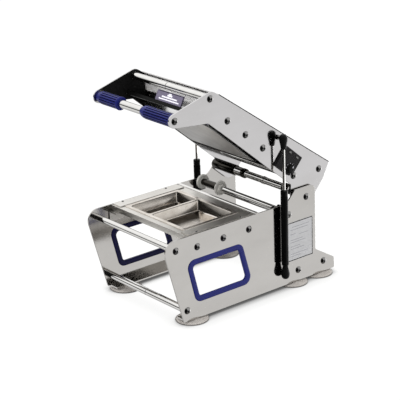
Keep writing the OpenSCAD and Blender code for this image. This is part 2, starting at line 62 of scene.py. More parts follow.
# Side plates: stations across the machine, in millimetres
PLATE_OUT = 137.5
PLATE_IN = 134.5
ARM_OUT = 131.0
TRIM_LIP = 2.0

# Head, in the closed head's frame: face of the control box, and the knob's middle [y, z] on it
PANEL_FACE = ARM_OUT + 6.0
KNOB_PLACE = (-85.0, 27.0)

# Mould insert: middle of its depth, half depth of the wells, and sideways ends of each well
INSERT_MIDDLE = -88.1
WELL_HALF = 66.0
WELLS = [(-94.0, -27.0), (-19.0, 94.0)]

# Gas springs: from a ball's middle to the back of its socket, and the tube's radius
SOCKET_BACK = 10.0
TUBE_RADIUS = 8.22

# Hand window in a side plate: [y, z] corners of the trim's rim, the hole and the opening
WINDOW_RIM = [(-164, 44), (-5.5, 44), (-33, 144), (-188, 144)]
WINDOW_HOLE = [(-159.5, 51), (-14, 51), (-38, 137.5), (-180, 137.5)]
WINDOW_OPENING = [(-154, 56.5), (-22, 56.5), (-42.5, 131.5), (-172, 131.5)]
WINDOW_RADII = (9, 13, 18)

HINGE = next(j for j in RECORD["behaviour"]["joints"] if j["name"] == "head_hinge")
OPEN_ANGLE = radians(-HINGE["range_deg"][0])
HINGE_PLACE = Vector(HINGE["pos_m"])


# ---- Mesh helpers ----

class Shape:
    """Collects points and faces, with a material number for each face."""

    def __init__(self):
        self.points = []
        self.faces = []
        self.numbers = []

    def face(self, indices, number=0):
        self.faces.append(indices)
        self.numbers.append(number)

    def grid(self, rows, number=0, close_rows=False, cap=False):
        """Skin over rings of points; each ring closes on itself."""
        start = len(self.points)
        width = len(rows[0])
        for row in rows:
            self.points.extend(row)
        spans = len(rows) if close_rows else len(rows) - 1
        for i in range(spans):
            low = start + i * width
            high = start + (i + 1) % len(rows) * width
            for j in range(width):
                k = (j + 1) % width
                self.face([low + j, low + k, high + k, high + j], number)
        if cap:
            self.face([start + j for j in range(width)], number)
            self.face([start + (len(rows) - 1) * width + j for j in range(width)], number)

    def lathe(self, origin, axis, profile, number=0, steps=48, close=False):
        """Turns a profile of (distance along the axis, radius) round the axis."""
        rows = [ring(origin, axis, h, r, steps) for h, r in profile]
        self.grid(rows, number, close_rows=close)

    def block(self, low, high, place, number=0):
        """Box between two corners, put in place by a function."""
        start = len(self.points)
        for x in (low[0], high[0]):
            for y in (low[1], high[1]):
                for z in (low[2], high[2]):
                    self.points.append(place(x, y, z))
        for side in ((0, 1, 3, 2), (4, 6, 7, 5), (0, 4, 5, 1), (2, 3, 7, 6), (0, 2, 6, 4), (1, 5, 7, 3)):
            self.face([start + i for i in side], number)

    def slab(self, outline, x0, x1, place, number=0, edge=0.0):
        """Flat part with an outline in the YZ plane, from x0 to x1, with a small chamfer."""
        inner = inset(outline, edge)
        rows = [[place(x0, y, z) for y, z in inner], [place(x0 + edge, y, z) for y, z in outline],
                [place(x1 - edge, y, z) for y, z in outline], [place(x1, y, z) for y, z in inner]]
        self.grid(rows, number, cap=True)


def ring(origin, axis, height, radius, steps):
    side = axis.orthogonal().normalized()
    other = axis.cross(side)
    middle = origin + axis * height
    turns = [2 * pi * i / steps for i in range(steps)]
    return [middle + (side * cos(a) + other * sin(a)) * radius for a in turns]


def inset(outline, by):
    """Outline moved in by a small step along its corners' bisectors."""
    if not by:
        return outline
    n = len(outline)
    following = outline[1:] + outline[:1]
    area = sum(p[0] * q[1] - q[0] * p[1] for p, q in zip(outline, following))
    hand = 1 if area > 0 else -1
    moved = []
    for i in range(n):
        p = Vector(outline[i])
        a = (p - Vector(outline[i - 1])).normalized()
        b = (Vector(outline[(i + 1) % n]) - p).normalized()
        out = Vector((-(a + b).y, (a + b).x)).normalized() * hand
        moved.append(tuple(p + out * by))
    return moved


def corner_arc(before, corner, after, radius, steps):
    """Points of the arc that rounds a corner."""
    a, c, b = Vector(before), Vector(corner), Vector(after)
    u, v = (a - c).normalized(), (b - c).normalized()
    half = acos(max(-1, min(1, u.dot(v)))) / 2
    middle = c + (u + v).normalized() * radius / sin(half)
    first = c + u * radius / tan(half) - middle
    last = c + v * radius / tan(half) - middle
    turn = atan2(last.y, last.x) - atan2(first.y, first.x)
    turn = (turn + pi) % (2 * pi) - pi
    start = atan2(first.y, first.x)
    return [tuple(middle + radius * Vector((cos(start + turn * i / steps), sin(start + turn * i / steps))))
            for i in range(steps + 1)]


def rounded(corners, radius, steps=8):
    n = len(corners)
    points = []
    for i in range(n):
        points += corner_arc(corners[i - 1], corners[i], corners[(i + 1) % n], radius, steps)
    return points


def mixed(a, b, t):
    return a[0] + (b[0] - a[0]) * t, a[1] + (b[1] - a[1]) * t


def make(name, shape, body, replaced, finishes, sharp=32):
    """Blender object from a shape, riding on a body and standing for CAD nodes."""
    mesh = bpy.data.meshes.new(name)
    mesh.from_pydata([tuple(p) for p in shape.points], [], shape.faces)
    for finish in finishes:
        mesh.materials.append(finish)
    for polygon, number in zip(mesh.polygons, shape.numbers):
        polygon.material_index = number
    work = bmesh.new()
    work.from_mesh(mesh)
    bmesh.ops.remove_doubles(work, verts=work.verts, dist=1e-6)
    bmesh.ops.dissolve_degenerate(work, edges=work.edges, dist=1e-7)
    bmesh.ops.recalc_face_normals(work, faces=work.faces)
    work.to_mesh(mesh)
    work.free()
    mesh.shade_smooth()
    mesh.set_sharp_from_angle(angle=radians(sharp))
    piece = bpy.data.objects.new(name, mesh)
    bpy.context.scene.collection.objects.link(piece)
    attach(piece, body)
    if replaced:
        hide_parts(*replaced)
    return piece


def row(x, y, z):
    """Point given in millimetres in the row frame."""
    return Vector((x, y, z)) * MM


def on_head(x, y, z):
    """Point given in millimetres in the closed head's frame, measured from the hinge."""
    c, s = cos(OPEN_ANGLE), sin(OPEN_ANGLE)
    return HINGE_PLACE + Vector((x, y * c + z * s, z * c - y * s)) * MM


X_AXIS = Vector((1, 0, 0))
Z_AXIS = Vector((0, 0, 1))


def box_mm(node):
    """Lower and upper corner of a CAD node's box, in millimetres."""
    low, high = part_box(node)
    return low / MM, high / MM


def axis_of(node):
    """Left end, right end, and middle and half height of a node that lies along X, in millimetres."""
    low, high = box_mm(node)
    return low.x, high.x, (low.y + high.y) / 2, (low.z + high.z) / 2, (high.z - low.z) / 2


def arc(middle_h, middle_r, radius, start, end, steps=6):
    """Profile points on an arc, in degrees from the axis direction."""
    angles = [radians(start + (end - start) * i / steps) for i in range(steps + 1)]
    return [(middle_h + radius * cos(a), middle_r + radius * sin(a)) for a in angles]


def scaled(profile):
    return [(h * MM, r * MM) for h, r in profile]


# ---- Materials ----

class Graph:
    """Small helper round a node tree."""

    def __init__(self, tree):
        self.tree = tree

    def node(self, kind, **inputs):
        made = self.tree.nodes.new(kind)
        for key, value in inputs.items():
            self.put(made.inputs[key.replace("_", " ")], value)
        return made

    def put(self, socket, value):
        if isinstance(value, bpy.types.NodeSocket):
            self.tree.links.new(value, socket)
        else:
            socket.default_value = value

    def spread(self, value, low, high, start=0.3, end=0.7):
        made = self.node("ShaderNodeMapRange", Value=value)
        made.inputs["From Min"].default_value = start
        made.inputs["From Max"].default_value = end
        made.inputs["To Min"].default_value = low
        made.inputs["To Max"].default_value = high
        return made.outputs["Result"]

    def blend(self, factor, first, second):
        made = self.tree.nodes.new("ShaderNodeMix")
        made.data_type = "RGBA"
        self.put(made.inputs["Factor"], factor)
        self.put(made.inputs["A"], first)
        self.put(made.inputs["B"], second)
        return next(o for o in made.outputs if o.type == "RGBA")

    def math(self, operation, first, second=0.0):
        made = self.tree.nodes.new("ShaderNodeMath")
        made.operation = operation
        self.put(made.inputs[0], first)
        self.put(made.inputs[1], second)
        return made.outputs[0]

    def dot(self, first, second):
        made = self.tree.nodes.new("ShaderNodeVectorMath")
        made.operation = "DOT_PRODUCT"
        self.put(made.inputs[0], first)
        self.put(made.inputs[1], second)
        return made.outputs["Value"]


class Finish(Graph):
    """One material's node tree, with the patterns that the finishes share."""

    def __init__(self, name):
        self.material = bpy.data.materials.new(name)
        self.material.use_nodes = True
        super().__init__(self.material.node_tree)
        self.shader = self.tree.nodes["Principled BSDF"]

    def set(self, **inputs):
        for key, value in inputs.items():
            self.put(self.shader.inputs[key.replace("_", " ")], value)

    def noise(self, scale, stretch=(1, 1, 1), detail=3.0, roughness=0.55):
        place = self.node("ShaderNodeTexCoord").outputs["Object"]
        mapped = self.node("ShaderNodeMapping", Vector=place, Scale=stretch).outputs["Vector"]
        made = self.node("ShaderNodeTexNoise", Vector=mapped, Scale=scale, Detail=detail, Roughness=roughness)
        return made.outputs["Fac"]

    def soft_edge(self, radius):
        made = self.tree.nodes.new("ShaderNodeBevel")
        made.samples = 4
        made.inputs["Radius"].default_value = radius
        return made.outputs["Normal"]

    def edges(self, radius, reach=0.12):
        """1 on convex and concave edges, 0 on open faces."""
        plain = self.tree.nodes.new("ShaderNodeNewGeometry").outputs["Normal"]
        return self.spread(self.dot(plain, self.soft_edge(radius)), 1.0, 0.0, 1.0 - reach, 0.999)

    def relief(self, height, strength, distance, normal=None):
        made = self.node("ShaderNodeBump", Strength=strength, Distance=distance, Height=height)
        if normal is not None:
            self.put(made.inputs["Normal"], normal)
        return made.outputs["Normal"]


def rgba(colour):
    return (*colour, 1.0)


def polished_sheet(name, colour, smudge, grain=(2, 2, 90), roughness=(0.06, 0.12)):
    """Bright stainless sheet: fine brushing, faint wiping marks and softened cut edges."""
    f = Finish(name)
    wiped = f.noise(9, (1, 1, 2.2), 4)
    brushed = f.noise(14, grain, 5, 0.7)
    worn = f.edges(0.0008)
    tone = f.blend(f.spread(wiped, 0, 1), rgba(colour), rgba(smudge))
    tone = f.blend(f.math("MULTIPLY", worn, 0.55), tone, rgba([min(1, c * 1.35) for c in colour]))
    rough = f.math("ADD", f.spread(wiped, *roughness), f.spread(brushed, -0.012, 0.03))
    f.set(Base_Color=tone, Metallic=1.0, Roughness=f.math("ADD", rough, f.math("MULTIPLY", worn, 0.16)),
          Normal=f.relief(brushed, 0.05, 0.0002, f.soft_edge(0.0005)))
    return f.material


def polished_bar(name, colour, roughness=(0.05, 0.1)):
    """Drawn and polished round bar, with fine rings left by the polishing."""
    f = Finish(name)
    drawn = f.noise(30, (30, 1, 1), 4, 0.65)
    dull = f.noise(18, (1, 1, 1), 3)
    tone = f.blend(f.spread(dull, 0, 1), rgba(colour), rgba([c * 0.9 for c in colour]))
    rough = f.math("ADD", f.spread(dull, *roughness), f.spread(drawn, 0, 0.03))
    f.set(Base_Color=tone, Metallic=1.0, Roughness=rough,
          Normal=f.relief(drawn, 0.04, 0.0001, f.soft_edge(0.0004)))
    return f.material


def plated(name, colour, roughness=(0.1, 0.2), scale=160):
    """Zinc-plated or sintered small metal parts."""
    f = Finish(name)
    grain = f.noise(scale, (1, 1, 1), 4)
    worn = f.edges(0.0005, 0.2)
    tone = f.blend(f.math("MULTIPLY", worn, 0.5), rgba(colour), rgba([min(1, c * 1.4) for c in colour]))
    f.set(Base_Color=tone, Metallic=1.0, Roughness=f.spread(grain, *roughness),
          Normal=f.relief(grain, 0.06, 0.0001, f.soft_edge(0.0003)))
    return f.material


def milled_aluminium(name, colour, dark, roughness=(0.2, 0.34)):
    """Milled and rubbed aluminium, with cutter lines and darker handling stains."""
    f = Finish(name)
    stain = f.noise(24, (1, 1, 1), 5, 0.6)
    lines = f.noise(60, (1, 14, 1), 3)
    worn = f.edges(0.0009, 0.2)
    tone = f.blend(f.spread(stain, 0, 1, 0.38, 0.72), rgba(colour), rgba(dark))
    tone = f.blend(f.math("MULTIPLY", worn, 0.45), tone, rgba([min(1, c * 1.3) for c in colour]))
    rough = f.math("ADD", f.spread(stain, *roughness), f.spread(lines, 0, 0.05))
    f.set(Base_Color=tone, Metallic=1.0, Roughness=rough,
          Normal=f.relief(lines, 0.06, 0.0002, f.soft_edge(0.0006)))
    return f.material


def moulded_plastic(name, colour, worn_colour, roughness=(0.28, 0.4), grain_scale=420, grain=0.12, gloss=0.22):
    """Injection-moulded plastic: fine spark-eroded grain, slight flow variation, rubbed edges."""
    f = Finish(name)
    fine = f.noise(grain_scale, (1, 1, 1), 2)
    flow = f.noise(22, (1, 2, 1), 3)
    worn = f.math("MULTIPLY", f.edges(0.0008, 0.25), 0.35)
    tone = f.blend(f.spread(flow, 0, 1), rgba(colour), rgba([c * 0.8 for c in colour]))
    tone = f.blend(worn, tone, rgba(worn_colour))
    f.set(Base_Color=tone, Roughness=f.spread(flow, *roughness), Specular_IOR_Level=gloss,
          Normal=f.relief(fine, grain, 0.0002, f.soft_edge(0.0004)))
    return f.material


def sprayed_paint(name, colour, bare, roughness, gloss=0.1):
    """Sprayed paint with slight orange peel and metal showing at the edges."""
    f = Finish(name)
    orange = f.noise(260, (1, 1, 1), 2)
    patch = f.noise(70, (1, 1, 1), 4)
    worn = f.math("MULTIPLY", f.edges(0.0006, 0.25), f.spread(patch, 0, 0.4, 0.45, 0.65))
    f.set(Base_Color=f.blend(worn, rgba(colour), rgba(bare)), Roughness=f.spread(patch, *roughness),
          Specular_IOR_Level=gloss, Normal=f.relief(orange, 0.08, 0.0002, f.soft_edge(0.0003)))
    return f.material


def cloudy_rubber(name, colour, dark, roughness, transmission):
    """Natural translucent vinyl or nylon, cloudy and slightly marked."""
    f = Finish(name)
    cloud = f.noise(45, (1, 1, 1), 4)
    fine = f.noise(500, (1, 1, 1), 2)
    f.set(Base_Color=f.blend(f.spread(cloud, 0, 1), rgba(colour), rgba(dark)),
          Roughness=f.spread(cloud, *roughness), IOR=1.45, Transmission_Weight=transmission,
          Specular_IOR_Level=0.06, Normal=f.relief(fine, 0.015, 0.0001))
    return f.material


def pressed_board(name, colour, dark):
    """Heat-resistant fibre board: speckled and matt."""
    f = Finish(name)
    speck = f.noise(380, (1, 1, 3), 4, 0.7)
    f.set(Base_Color=f.blend(f.spread(speck, 0, 1, 0.4, 0.65), rgba(colour), rgba(dark)),
          Roughness=f.spread(speck, 0.75, 0.95), Normal=f.relief(speck, 0.35, 0.0003))
    return f.material


def painted_panel(name, steel, black, station):
    """Dull bright sheet in front of a station along Y, black enamel behind it."""
    f = Finish(name)
    place = f.node("ShaderNodeTexCoord").outputs["Object"]
    y = f.node("ShaderNodeSeparateXYZ", Vector=place).outputs["Y"]
    behind = f.math("GREATER_THAN", y, station)
    fine = f.noise(120, (1, 1, 1), 3)
    f.set(Base_Color=f.blend(behind, rgba(steel), rgba(black)), Metallic=0.3,
          Roughness=f.math("ADD", f.spread(fine, 0.28, 0.36), f.math("MULTIPLY", behind, 0.1)),
          Specular_IOR_Level=0.08, Normal=f.relief(fine, 0.05, 0.0001, f.soft_edge(0.0004)))
    return f.material


def cover_sheet(name, colour, painted_light_underside, dark, roughness=(0.12, 0.2)):
    """Polished cover sheet. Its underside is dull and painted pale, a painted light. Its side faces across the
    machine are painted dark, a painted shade line along its cut edges.
    """
    f = Finish(name)
    wiped = f.noise(9, (1, 1, 2.2), 4)
    brushed = f.noise(14, (90, 2, 2), 5, 0.7)
    way = f.node("ShaderNodeSeparateXYZ", Vector=f.tree.nodes.new("ShaderNodeTexCoord").outputs["Normal"])
    # Side faces across the machine take the dark colour: painted shade along the cut edges.
    edge = f.spread(f.math("ABSOLUTE", way.outputs["X"]), 0, 1, 0.5, 0.7)
    # Faces that look down take the pale colour: painted light on the underside.
    below = f.math("LESS_THAN", way.outputs["Z"], -0.3)
    tone = f.blend(below, rgba(colour), rgba(painted_light_underside))
    rough = f.math("ADD", f.spread(wiped, *roughness), f.math("MULTIPLY", f.math("MAXIMUM", below, edge), 0.2))
    metal = f.math("SUBTRACT", 1.0, f.math("MULTIPLY", below, 0.65))
    f.set(Base_Color=f.blend(edge, tone, rgba(dark)), Metallic=metal, Roughness=rough,
          Normal=f.relief(brushed, 0.05, 0.0002))
    return f.material


def printed_ink(name, colour):
    """Screen-printed ink, slightly uneven."""
    f = Finish(name)
    uneven = f.noise(300, (1, 1, 1), 3)
    f.set(Base_Color=f.blend(f.spread(uneven, 0, 1), rgba(colour), rgba([c * 0.75 for c in colour])),
          Roughness=f.spread(uneven, 0.45, 0.65), Specular_IOR_Level=0.1, Normal=f.relief(uneven, 0.08, 0.0001))
    return f.material


PLATE = polished_sheet("plate_steel", (0.545, 0.53, 0.51), (0.51, 0.495, 0.475))
ARM_PLATE = polished_sheet("arm_steel", (0.64, 0.63, 0.635), (0.60, 0.59, 0.59))
# The pale underside colour is painted light; the near-black colour is painted shade on the side faces.
COVER = cover_sheet("cover_steel", (0.62, 0.61, 0.605), (0.82, 0.81, 0.80), (0.02, 0.02, 0.02))
FRAME_SHEET = polished_sheet("frame_steel", (0.72, 0.70, 0.665), (0.62, 0.60, 0.56), (40, 2, 2), (0.3, 0.38))
BAR = polished_bar("bright_steel", (0.74, 0.73, 0.71))
SCREW = plated("screw_steel", (0.24, 0.236, 0.232), (0.05, 0.1))
ALUMINIUM = milled_aluminium("cast_aluminium", (0.70, 0.655, 0.60), (0.55, 0.50, 0.44), (0.13, 0.2))
HEATER = milled_aluminium("heater_aluminium", (0.60, 0.59, 0.575), (0.52, 0.51, 0.50), (0.36, 0.44))
BLUE = moulded_plastic("blue_plastic", (0.007, 0.010, 0.105), (0.03, 0.04, 0.2))
# Darker copy of the blue plastic for the far side's trim: painted shade, because that trim sits in shadow.
SHADED_SIDE_BLUE = moulded_plastic("blue_plastic_painted_shade", (0.004, 0.004, 0.035), (0.02, 0.02, 0.09), gloss=0.12)
# Darker blue for the grips' groove floors: painted shade in the grooves.
GROOVE_SHADE_BLUE = moulded_plastic("groove_blue_painted_shade", (0.003, 0.004, 0.035), (0.01, 0.01, 0.06), gloss=0.05)
BLACK_PAINT = sprayed_paint("black_paint", (0.003, 0.003, 0.003), (0.08, 0.08, 0.08), (0.3, 0.42), gloss=0.07)
BLACK_PLASTIC = moulded_plastic("black_plastic", (0.004, 0.004, 0.004), (0.03, 0.03, 0.03), (0.35, 0.5),
                                gloss=0.1)
PANEL = moulded_plastic("panel_plastic", (0.010, 0.009, 0.010), (0.05, 0.05, 0.05), (0.4, 0.55), 300, 0.3, 0.12)
FOOT = cloudy_rubber("foot_rubber", (0.40, 0.378, 0.355), (0.33, 0.31, 0.29), (0.4, 0.6), 0.0)
# Darker rubber for the feet's thin lip: partly the rim's own tone, partly painted contact shadow.
FOOT_LIP_SHADE = cloudy_rubber("foot_lip_rubber_painted_shade", (0.17, 0.16, 0.15), (0.12, 0.11, 0.105), (0.4, 0.6), 0.0)
CORE = cloudy_rubber("core_plastic", (0.46, 0.45, 0.42), (0.34, 0.33, 0.31), (0.3, 0.45), 0.1)
DARK_CHROME = polished_bar("dark_chrome", (0.05, 0.046, 0.04), (0.1, 0.18))
BOARD = pressed_board("insulation", (0.60, 0.55, 0.45), (0.42, 0.37, 0.28))
ELEMENT = sprayed_paint("element_metal", (0.12, 0.09, 0.07), (0.3, 0.25, 0.2), (0.4, 0.6))
KNIFE = polished_sheet("knife_steel", (0.62, 0.62, 0.62), (0.55, 0.55, 0.55), (60, 60, 2), (0.12, 0.22))
TUBE = sprayed_paint("tube_paint", (0.002, 0.002, 0.002), (0.05, 0.05, 0.05), (0.12, 0.2), gloss=0.12)
BADGE = plated("badge_metal", (0.30, 0.27, 0.38), (0.3, 0.42), 90)
LABEL = plated("label_metal", (0.60, 0.60, 0.61), (0.32, 0.45), 90)
LENS = moulded_plastic("lamp_lens", (0.12, 0.12, 0.115), (0.25, 0.25, 0.25), (0.15, 0.25), 200, 0.04)
BUSH = moulded_plastic("bush_plastic", (0.62, 0.57, 0.44), (0.7, 0.66, 0.55), (0.4, 0.55))
BULKHEAD = painted_panel("bulkhead_steel", (0.82, 0.81, 0.80), (0.004, 0.004, 0.004), 0.0)
# Dark ink: print on the plates and the bar joint rings, and also painted shade in the screw sockets and painted
# shadow under the badge's bar.
DARK_INK_AND_SHADE = printed_ink("dark_ink_and_painted_shade", (0.004, 0.004, 0.006))
GREY_INK = printed_ink("grey_ink", (0.28, 0.28, 0.30))
PALE_INK = printed_ink("pale_ink", (0.75, 0.74, 0.80))

SLOT_FINISHES = {
    "plate_steel": PLATE, "bright_steel": BAR, "screw_steel": SCREW, "cast_aluminium": ALUMINIUM,
    "blue_plastic": BLUE, "black_paint": BLACK_PAINT, "black_plastic": BLACK_PLASTIC, "foot_rubber": FOOT,
    "core_plastic": CORE, "insulation": BOARD, "element_metal": ELEMENT, "knife_steel": KNIFE,
    "tube_paint": TUBE, "badge_metal": BADGE, "label_metal": LABEL, "lamp_lens": LENS, "bush_plastic": BUSH}
NODE_FINISHES = {
    "mould_frame": FRAME_SHEET, "left_side_strip": FRAME_SHEET, "right_side_strip": FRAME_SHEET,
    "left_rail": FRAME_SHEET, "right_rail": FRAME_SHEET, "heater_plate": HEATER, "control_panel": PANEL,
    "left_arm_plate": ARM_PLATE, "right_arm_plate": ARM_PLATE, "top_cover": COVER, "head_panels": BULKHEAD,
    "film_shaft_sleeve": DARK_CHROME}


def paint_cad():
    """Gives every CAD node the finish of its slot, or its own."""
    for part in RECORD["subparts"]:
        node = part["node"]
        mesh = frame["nodes"][node].data
        mesh.materials.clear()
        mesh.materials.append(NODE_FINISHES.get(node, SLOT_FINISHES[part["material_slot"]]))


# ---- Base ----

def window_trim(side, name, finish):
    """Blue edging with rounded lips, pressed over the rim of the hand window."""
    loops = [rounded(corners, radius) for corners, radius in
             zip((WINDOW_OPENING, WINDOW_HOLE, WINDOW_RIM), WINDOW_RADII)]
    gap = 0.02
    half = [(0.0, 0.7), (0.06, 1.5), (0.18, 1.9), (0.35, TRIM_LIP), (0.75, TRIM_LIP), (0.9, 1.75),
            (0.98, 1.0)]
    rows = []
    for inner, hole, rim in zip(*loops):
        section = [(mixed(inner, rim, t), PLATE_OUT + h) for t, h in half]
        section += [(rim, PLATE_OUT + gap), (hole, PLATE_OUT + gap)]
        section += [(hole, PLATE_IN - gap), (rim, PLATE_IN - gap)]
        section += [(mixed(inner, rim, t), PLATE_IN - h) for t, h in reversed(half)]
        rows.append([row(side * x, y, z) for (y, z), x in section])
    shape = Shape()
    shape.grid(rows, close_rows=True)
    make(name, shape, "base", [name], [finish], 40)


def foot(number, x, y):
    """Flat suction foot: thin lip painted darker, partly its own tone and partly a painted contact shadow,
    cupped underside, low shoulder and a neck with a bead.
    """
    lip = [(0.0, 27.0), (0.0, 35.5)] + arc(0.9, 35.55, 0.9, 180, 90, 4)[1:] + [(1.7, 36.2), (2.0, 35.4)]
    profile = [lip[-1], (2.9, 32.5), (3.6, 29.5), (4.2, 25.0), (4.7, 20.5), (5.1, 17.6), (5.6, 15.9)]
    profile += arc(6.6, 15.0, 0.8, 180, 0, 6) + [(7.6, 14.2), (7.98, 13.8), (7.98, 4.1), (4.0, 4.1), (4.0, 0.0)]
    shape = Shape()
    shape.lathe(row(x, y, 0), Z_AXIS, scaled(lip), 1, 72)
    shape.lathe(row(x, y, 0), Z_AXIS, scaled(profile), 0, 72)
    cup = [(0.0, 27.0), (0.8, 25.5), (1.5, 20.0), (2.0, 8.0), (2.0, 0.0)]
    shape.lathe(row(x, y, 0), Z_AXIS, scaled(cup), steps=72)
    make(f"foot_{number}", shape, "base", ["feet"], [FOOT, FOOT_LIP_SHADE], 50)


def feet():
    low, high = box_mm("feet")
    edge = 36.5
    middle = 128.0
    x = high.x - edge
    number = 0
    for y in (low.y + edge, middle, high.y - edge):
        for side in (-1, 1):
            number += 1
            foot(number, side * x, y)


def marked_bar(node, body, joints, radius):
    """Polished bar with chamfered ends and a dark joint groove at each given station along it."""
    x0, x1, y, z, _ = axis_of(node)
    profile = [(x0, 0.0), (x0, radius - 0.6), (x0 + 0.6, radius)]
    for x in joints:
        profile += [(x - 0.7, radius), (x - 0.45, radius - 0.5), (x + 0.45, radius - 0.5), (x + 0.7, radius)]
    profile += [(x1 - 0.6, radius), (x1, radius - 0.6), (x1, 0.0)]
    shape = Shape()
    shape.lathe(row(0, y, z), X_AXIS, scaled(profile), steps=64)
    for x in joints:
        shape.lathe(row(0, y, z), X_AXIS, scaled([(x - 0.6, radius - 0.25), (x + 0.6, radius - 0.25)]), 1, 64)
    make(node, shape, body, [node], [BAR, DARK_INK_AND_SHADE], 30)


def well_loops(x0, x1, y0, y1, top, deep):
    """Rings from the rim of a well, over its rounded edge and down its drafted wall to the floor."""
    levels = [(-1.6, 0.0), (-1.2, 0.05), (-0.5, -0.4), (0.0, -1.1), (3.2, -deep + 3.5), (4.2, -deep + 1.4),
              (6.0, -deep + 0.3), (9.0, -deep)]
    rows = []
    for grow, z in levels:
        left, right, front, rear = x0 + grow, x1 - grow, y0 + grow, y1 - grow
        corners = [(left, front), (right, front), (right, rear), (left, rear)]
        outline = rounded(corners, max(2.5, 5.5 - grow * 0.3), 6)
        rows.append([row(x, y, top + z) for x, y in outline])
    return rows


def die_insert():
    """Mould insert: flange with a rolled rim round each well, drafted walls and rounded floors."""
    low, high = box_mm("die_insert")
    deep = 25.0
    shape = Shape()
    rims = []
    for x0, x1 in WELLS:
        rows = well_loops(x0, x1, INSERT_MIDDLE - WELL_HALF, INSERT_MIDDLE + WELL_HALF, high.z, deep)
        start = len(shape.points)
        shape.grid(rows)
        width = len(rows[0])
        floor = start + (len(rows) - 1) * width
        shape.face([floor + j for j in range(width)])
        rims.append([start + j for j in range(width)])
    deck_with_holes(shape, low, high, rims)
    skirt(shape, low, high)
    make("die_insert", shape, "die", ["die_insert"], [ALUMINIUM], 40)


def deck_with_holes(shape, low, high, rims):
    """Flat top round the wells: its outer edge filled up to each well's rim."""
    edge = 0.5
    outline = [(low.x + edge, low.y + edge), (high.x - edge, low.y + edge),
               (high.x - edge, high.y - edge), (low.x + edge, high.y - edge)]
    outer = [row(x, y, high.z) for x, y in outline]
    work = bmesh.new()
    loops = [outer] + [[shape.points[i] for i in rim] for rim in rims]
    for loop in loops:
        corners = [work.verts.new(p) for p in loop]
        for i in range(len(corners)):
            work.edges.new((corners[i - 1], corners[i]))
    bmesh.ops.triangle_fill(work, edges=work.edges, use_beauty=True)
    work.verts.index_update()
    start = len(shape.points)
    shape.points.extend([v.co.copy() for v in work.verts])
    for face in work.faces:
        shape.face([start + v.index for v in face.verts])
    work.free()


def skirt(shape, low, high):
    """Underside of the insert: chamfered flange edge, flange underside, block sides and bottom."""
    edge = 0.5
    flange_low = high.z - 1.6
    block_x, block_y = 96.0, 68.0

    def level(x0, x1, y0, y1, z):
        return [row(x, y, z) for x, y in ((x0, y0), (x1, y0), (x1, y1), (x0, y1))]

    rows = [level(low.x + cut, high.x - cut, low.y + cut, high.y - cut, z)
            for z, cut in ((high.z, edge), (high.z - edge, 0.0), (flange_low, 0.0))]
    rows += [level(-block_x, block_x, INSERT_MIDDLE - block_y, INSERT_MIDDLE + block_y, z)
             for z in (flange_low, low.z)]
    start = len(shape.points)
    shape.grid(rows)
    bottom = start + 4 * (len(rows) - 1)
    shape.face([bottom + j for j in range(4)])


def core_disc(node, body, thick, hub):
    """Film core stop: disc with a rounded rim and a raised middle, and on one of them a stepped hub."""
    x0, x1, y, z, radius = axis_of(node)
    bore = 6.05
    rim = 1.2
    profile = [(x0, bore), (x0, radius - 6.0), (x0 + 0.5, radius - 5.0)]
    profile += arc(x0 + rim, radius - rim, rim, 180, 90, 4)
    profile += arc(x0 + thick - rim, radius - rim, rim, 90, 0, 4)
    profile += [(x0 + thick - 0.6, radius - 5.0), (x0 + thick, radius - 6.0)]
    if hub:
        profile += [(x0 + thick, 10.0), (x1 - 1.0, 10.0), (x1, 9.0), (x1, bore)]
    else:
        profile.append((x0 + thick, bore))
    shape = Shape()
    shape.lathe(row(0, y, z), X_AXIS, scaled(profile), steps=64, close=True)
    make(node, shape, body, [node], [CORE], 35)


def data_plate():
    """Rating plate with a dark border and plain grey rules, and no writing."""
    low, high = box_mm("data_plate")
    shape = Shape()
    outline = rounded([(low.y, low.z), (high.y, low.z), (high.y, high.z), (low.y, high.z)], 2, 4)
    shape.slab(outline, low.x, high.x - 0.12, row, 0, 0.15)
    x0, x1 = high.x - 0.12, high.x - 0.04
    line = 1.8
    inner_y, inner_z = (low.y + 0.5, high.y - 0.5), (low.z + 0.5, high.z - 0.5)
    shape.block((x0, inner_y[0], inner_z[0]), (x1, inner_y[1], inner_z[0] + line), row, 1)
    shape.block((x0, inner_y[0], inner_z[1] - line), (x1, inner_y[1], inner_z[1]), row, 1)
    for y in (inner_y[0], inner_y[1] - line):
        shape.block((x0, y, inner_z[0]), (x1, y + line, inner_z[1]), row, 1)
    rules = [(0.86, 0.22, 0.86), (0.79, 0.14, 0.80), (0.68, 0.14, 0.34), (0.64, 0.46, 0.84), (0.53, 0.14, 0.60),
             (0.47, 0.14, 0.72), (0.36, 0.14, 0.50), (0.30, 0.14, 0.66), (0.17, 0.14, 0.82), (0.11, 0.14, 0.52)]
    tall, wide = high.z - low.z, high.y - low.y
    for height, start, end in rules:
        z = low.z + tall * height
        shape.block((x0, low.y + wide * start, z), (x1, low.y + wide * end, z + 1.3), row, 2)
    make("data_plate", shape, "base", ["data_plate"], [LABEL, DARK_INK_AND_SHADE, GREY_INK], 30)


# ---- Head ----

